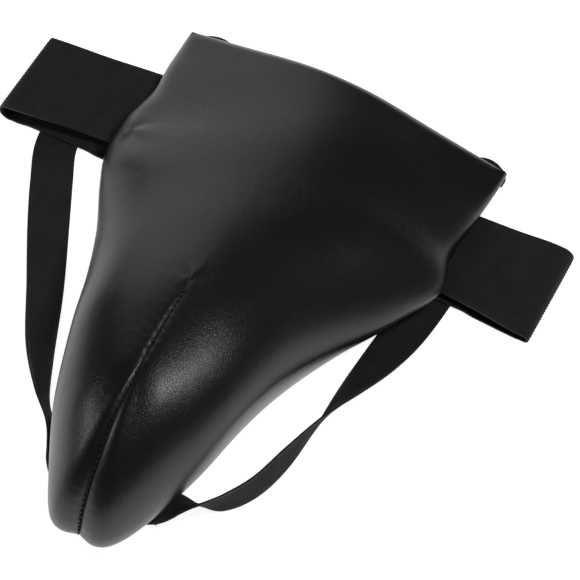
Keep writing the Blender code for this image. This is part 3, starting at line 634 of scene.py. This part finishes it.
def band_base(at):
    """Height of the back layer's middle, which lifts over the ends of the two leg straps."""
    flat = STRAP_WIDTH / 2.0 + STRAP_LIFT_MARGIN
    lift = max(1.0 - float(ease(abs(at - top), flat, flat + STRAP_LIFT_SLOPE))
               for top in (LEFT_STRAP_TOP_X, RIGHT_STRAP_TOP_X))
    return BAND_THICKNESS / 2.0 + lift * (STRAP_THICKNESS + STRAP_LIFT)


def wing_root(side, sign):
    """Where one long edge of an outer layer starts in the side seam."""
    climb = LEFT_WING_CLIMB if side < 0 else RIGHT_WING_CLIMB
    at_reach = (BAND_MIDDLE_REACH + band_shift(side * CORNER_HALF_WIDTH) + climb
                + sign * (BAND_WIDTH / 2.0 - ROOT_GATHER))
    places = [through(outline(), place) for place in np.linspace(9.0, 13.0, 60)]
    at = side * float(np.interp(at_reach, [p[1] for p in places], [p[0] for p in places]))
    height = by_reach(HEM_HEIGHTS, at_reach) - WING_GAP - BAND_THICKNESS / 2.0
    return np.array([at - side * BAND_TUCK, at_reach, height])


def wing_edge(side, sign):
    """One long edge of an outer layer, from the side seam out and round the fold."""
    low = BAND_THICKNESS / 2.0
    fold_x, open_height = ((LEFT_FOLD_X, LEFT_FOLD_HEIGHT) if side < 0
                           else (RIGHT_FOLD_X, RIGHT_FOLD_HEIGHT))
    height = open_height if (sign > 0) == (side > 0) else LOW_FOLD_HEIGHT
    radius, open_radius = (height - low) / 2.0, (open_height - low) / 2.0
    at_reach = BAND_MIDDLE_REACH + band_shift(fold_x) + sign * BAND_WIDTH / 2.0
    root = wing_root(side, sign)
    run_end = fold_x - side * radius
    edge = []
    for share in np.linspace(0.0, 1.0, WING_STEPS):
        sag = WING_SAG * math.sin(math.pi * share) * math.sin(6.0 * share + sign)
        edge.append((root[0] + (run_end - root[0]) * share, root[1] + (at_reach - root[1]) * share,
                     root[2] + (height - root[2]) * float(ease(share, 0.0, 1.0)) + sag))
    for angle in np.linspace(0.0, math.pi, FOLD_STEPS + 1)[1:]:
        edge.append((run_end + side * radius * math.sin(angle), at_reach,
                     low + radius * (1.0 + math.cos(angle))))
    edge[-1] = (fold_x - side * open_radius, at_reach, low)
    return edge


elastic = elastic_material()
left_end = LEFT_FOLD_X + (LEFT_FOLD_HEIGHT - BAND_THICKNESS / 2.0) / 2.0
right_end = RIGHT_FOLD_X - (RIGHT_FOLD_HEIGHT - BAND_THICKNESS / 2.0) / 2.0
back_x = np.linspace(left_end, right_end, BACK_STEPS)
near, far = ([(at, BAND_MIDDLE_REACH + band_shift(at) + sign * BAND_WIDTH / 2.0, band_base(at))
              for at in back_x] for sign in (-1.0, 1.0))
band_back = ribbon("waistband_back_elastic", near, far, BAND_THICKNESS, BAND_CORDS, elastic)
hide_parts("waistband_back")
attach(band_back, "waistband_back")

for side, side_name in ((-1.0, "left"), (1.0, "right")):
    edges = [wing_edge(side, sign) for sign in (-1.0, 1.0)]
    wing = ribbon("waistband_" + side_name + "_elastic", edges[0], edges[1], BAND_THICKNESS,
                  BAND_CORDS, elastic)
    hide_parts("waistband_" + side_name)
    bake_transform(wing)

    row_start, row_end = wing_root(side, -1.0), wing_root(side, 1.0)
    row = np.array([row_start + (row_end - row_start) * share for share in np.linspace(0.03, 0.85, 30)])
    row += np.array([side * 1.5, 0.0, -BAND_THICKNESS / 2.0 - 0.2])
    seam = stitches(side_name + "_side_stitches", row, (0.0, 0.0, -1.0),
                    SIDE_STITCH_LENGTH, SIDE_STITCH_STEP, SIDE_STITCH_THICKNESS, thread)
    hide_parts(side_name + "_side_stitching")
    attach(seam, "shield")

# ---------------------------------------------------------------------------------------------
# Leg straps. Two lengths of 25 mm black elastic. Each is tacked to the waistband with a zigzag,
# lies loosely down its side, turns on edge past the cup and is tacked under the tip.
STRAP_CORDS, STRAP_STEPS, STRAP_END_X, STRAP_END_REACH = 13, 190, 21.0, 37.0
STRAP_END_RISE, STRAP_RISE_FROM = 3.0, 0.974
TACK_MARGIN, TACK_DEPTH, TACK_TEETH, TACK_FROM_END = 2.0, 6.0, 10, 22.0
TACK_STITCH_LENGTH, TACK_STITCH_STEP, TACK_STITCH_THICKNESS = 2.4, 3.0, 0.8
# Each way goes from the waistband to the tip: shares of the way across and down, turn in degrees.
STRAP_WAYS = {
    "left": (LEFT_STRAP_TOP_X, -1.0, [
        (0.0, 0.0, 0), (0.0, 0.115, 0), (0.016, 0.197, 0), (0.094, 0.288, 6), (0.216, 0.415, 20),
        (0.385, 0.585, 38), (0.540, 0.751, 56), (0.672, 0.860, 74), (0.800, 0.921, 72),
        (0.872, 0.950, 50), (0.918, 0.970, 22), (0.957, 0.985, 3), (1.0, 1.0, 0)]),
    "right": (RIGHT_STRAP_TOP_X, 1.0, [
        (0.0, 0.0, 0), (0.012, 0.131, 0), (0.042, 0.253, 4), (0.086, 0.376, 24), (0.150, 0.498, 50),
        (0.215, 0.611, 76), (0.285, 0.734, 92), (0.372, 0.836, 92), (0.51, 0.908, 84),
        (0.66, 0.940, 62), (0.79, 0.956, 34), (0.90, 0.968, 12), (1.0, 0.975, 0)]),
}


def zigzag(start, run, swing, teeth):
    """Path of a zigzag stitch from a start point."""
    return [start + run * (number / teeth) + swing * (0.5 if number % 2 else -0.5)
            for number in range(teeth + 1)]


for side_name, (top_x, side, way) in STRAP_WAYS.items():
    top_reach, flat = BAND_MIDDLE_REACH - BAND_WIDTH / 2.0 + STRAP_LAP, STRAP_THICKNESS / 2.0
    knots = [(top_x + (side * STRAP_END_X - top_x) * a, top_reach + (STRAP_END_REACH - top_reach) * b,
              flat + STRAP_END_RISE * max(b - STRAP_RISE_FROM, 0.0) / (1.0 - STRAP_RISE_FROM), turn)
             for a, b, turn in way]
    line = np.array([through(knots, place) for place in np.linspace(0.0, len(knots) - 1, STRAP_STEPS)])
    ahead = np.gradient(line[:, :3], axis=0)
    ahead /= np.linalg.norm(ahead, axis=1, keepdims=True)
    level = np.stack([ahead[:, 1], -ahead[:, 0], np.zeros(len(ahead))], axis=1)
    level /= np.linalg.norm(level, axis=1, keepdims=True)
    turn = side * np.radians(line[:, 3])[:, None]
    across = level * np.cos(turn) + np.cross(ahead, level) * np.sin(turn)
    lifted = line[:, :3] + np.array([0.0, 0.0, 1.0]) * np.abs(np.sin(turn)) * STRAP_WIDTH / 2.0
    strap = ribbon(side_name + "_leg_strap_elastic", lifted - across * STRAP_WIDTH / 2.0,
                   lifted + across * STRAP_WIDTH / 2.0, STRAP_THICKNESS, STRAP_CORDS, elastic)
    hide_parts(side_name + "_leg_strap")
    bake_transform(strap)

    tack_width = STRAP_WIDTH - 2.0 * TACK_MARGIN
    tack_start = np.array([top_x - tack_width / 2.0, top_reach - TACK_FROM_END, band_base(top_x) + 1.0])
    tack = zigzag(tack_start, np.array([tack_width, 0.0, 0.0]), np.array([0.0, TACK_DEPTH, 0.0]), TACK_TEETH)
    upper = stitches(side_name + "_strap_tack", tack, (0.0, 0.0, 1.0),
                     TACK_STITCH_LENGTH, TACK_STITCH_STEP, TACK_STITCH_THICKNESS, thread)
    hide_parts(side_name + "_strap_bartack")
    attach(upper, "waistband_back")
    end_level, end_swing = level[-1] * tack_width, ahead[-1] * TACK_DEPTH
    tack_start = lifted[-1] - end_swing - end_level / 2.0 - np.array([0.0, 0.0, 0.8])
    tack = zigzag(tack_start, end_level, end_swing, TACK_TEETH)
    lower = stitches(side_name + "_tip_tack", tack, (0.0, 0.0, -1.0),
                     TACK_STITCH_LENGTH, TACK_STITCH_STEP, TACK_STITCH_THICKNESS, thread)
    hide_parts(side_name + "_tip_bartack")
    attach(lower, "shield")

# ---------------------------------------------------------------------------------------------
# Floor, light and camera. A plain white table in a dim room, with a key light high on the right,
# a broad soft one behind the left side and a small one at the left front. Lengths are in metres.
TABLE_HALF, TABLE_DROP, TABLE_GLOW, ROOM_GLOW = 6.0, 0.0004, 0.9, 0.07
LIGHTS_CENTRE = Vector((0.0, -0.1, 0.0))
CAMERA_PLACE, CAMERA_AIM = Vector((0.4198, -0.8361, 1.4935)), Vector((0.0308, -0.0714, 0.020))
CAMERA_LENS, CAMERA_ROLL = 186.8, 1.15
floor_mesh = bpy.data.meshes.new("table")
floor_corners = [(x_side * TABLE_HALF, y_side * TABLE_HALF, -TABLE_DROP)
                 for x_side, y_side in ((-1, -1), (1, -1), (1, 1), (-1, 1))]
floor_mesh.from_pydata(floor_corners, [], [(0, 1, 2, 3)])
floor = bpy.data.objects.new("table", floor_mesh)
floor_material, floor_shader, _ = new_material("white_table", (0.9, 0.9, 0.9), 0.9, 0.1)
floor_shader.inputs["Emission Color"].default_value = (1.0, 1.0, 1.0, 1.0)
floor_shader.inputs["Emission Strength"].default_value = TABLE_GLOW
floor_mesh.materials.append(floor_material)
bpy.context.scene.collection.objects.link(floor)

world = bpy.data.worlds.new("studio")
bpy.context.scene.world = world
world.use_nodes = True
room = world.node_tree.nodes["Background"]
room.inputs["Color"].default_value = (1.0, 1.0, 1.0, 1.0)
room.inputs["Strength"].default_value = ROOM_GLOW

for name, direction, distance, size, power in (
        ("key", (0.42, 0.12, 0.88), 1.6, 0.34, 6.5),
        ("left_back", (-0.58, 0.66, 0.46), 1.7, 1.2, 4.0),
        ("left_front", (-0.74, -0.40, 0.49), 1.4, 0.25, 2.0)):
    lamp_data = bpy.data.lights.new(name, "AREA")
    lamp_data.shape, lamp_data.size, lamp_data.energy = "SQUARE", size, power
    lamp = bpy.data.objects.new(name, lamp_data)
    lamp.location = Vector(direction).normalized() * distance + LIGHTS_CENTRE
    lamp.rotation_euler = (-Vector(direction)).to_track_quat("-Z", "Y").to_euler()
    bpy.context.scene.collection.objects.link(lamp)

camera_data = bpy.data.cameras.new("camera")
camera_data.lens, camera_data.sensor_width, camera_data.clip_end = CAMERA_LENS, 36.0, 20.0
camera = bpy.data.objects.new("camera", camera_data)
camera.location = CAMERA_PLACE
looking = (CAMERA_AIM - camera.location).to_track_quat("-Z", "Y")
camera.rotation_mode = "QUATERNION"
camera.rotation_quaternion = looking @ Quaternion((0.0, 0.0, 1.0), math.radians(CAMERA_ROLL))
bpy.context.scene.collection.objects.link(camera)
bpy.context.scene.camera = camera
bpy.context.scene.view_settings.view_transform = "Standard"
